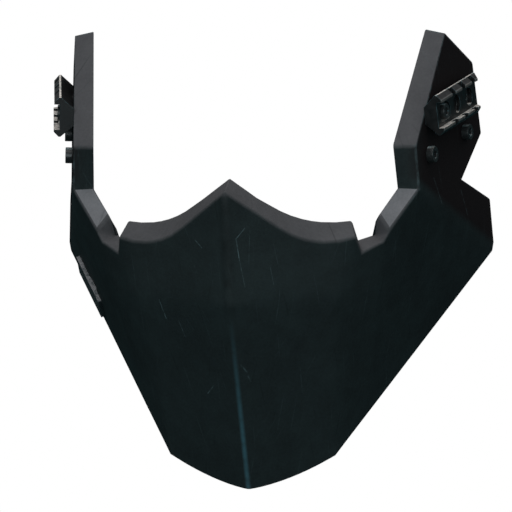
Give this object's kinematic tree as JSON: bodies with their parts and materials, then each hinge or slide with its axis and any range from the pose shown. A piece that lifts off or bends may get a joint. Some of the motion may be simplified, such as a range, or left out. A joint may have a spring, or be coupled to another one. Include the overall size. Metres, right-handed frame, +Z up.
{
  "type": "helmet mandible guard",
  "caption": "Rigid face and jaw guard that hangs from a helmet on two side arms, with cross-slotted accessory rails, push-button side releases and removable comfort pads.",
  "frame": {"origin": "midway between the two release buttons, on the line through both catch sockets", "axes": "+X to the wearer's left, the guard faces -Y, +Z up; the rails lie level"},
  "size_m": [0.234, 0.1554, 0.2284],
  "materials": {
    "shell": "moulded composite under a worn satin coat",
    "rail": "black hard-anodised, satin",
    "screws": "black oxide",
    "receiver": "brushed",
    "nuts": "zinc plated",
    "sleeve": "turned",
    "button": "black anodised",
    "spring": "drawn wire",
    "jaw_plate": "satin black",
    "inserts": "turned",
    "lining": "napped loop",
    "hook_tape": "woven hook",
    "pad": "brushed knit over foam"
  },
  "bodies": {
    "guard": {"shell": "shell", "liner": "lining", "accessory_rail_left": "rail", "accessory_rail_right": "rail", "rail_screws_left": "screws", "rail_screws_right": "screws", "arm_screws_left": "screws", "arm_screws_right": "screws", "receiver_plate_left": "receiver", "receiver_plate_right": "receiver", "clinch_nuts_left": "nuts", "clinch_nuts_right": "nuts", "button_sleeve_left": "sleeve", "button_sleeve_right": "sleeve", "button_spring_left": "spring", "button_spring_right": "spring", "jaw_plate": "jaw_plate", "jaw_plate_screws": "screws", "jaw_plate_inserts": "inserts", "hook_patch_chin": "hook_tape", "hook_patch_left": "hook_tape", "hook_patch_right": "hook_tape", "chin_pad": "pad", "cheek_pad_left": "pad", "cheek_pad_right": "pad"},
    "button_left": {"release_button_left": "button"},
    "button_right": {"release_button_right": "button"}
  },
  "joints": [
    {"name": "release_left", "type": "slide", "parent": "guard", "child": "button_left", "axis": [-0.9742, 0.2124, -0.0767], "range_m": [0, 0.0024], "stiffness_N_per_m": 1500, "springref_m": -0.001, "deforming": ["button_spring_left"]},
    {"name": "release_right", "type": "slide", "parent": "guard", "child": "button_right", "axis": [0.9742, 0.2124, -0.0767], "range_m": [0, 0.0024], "stiffness_N_per_m": 1500, "springref_m": -0.001, "deforming": ["button_spring_right"]}
  ]
}
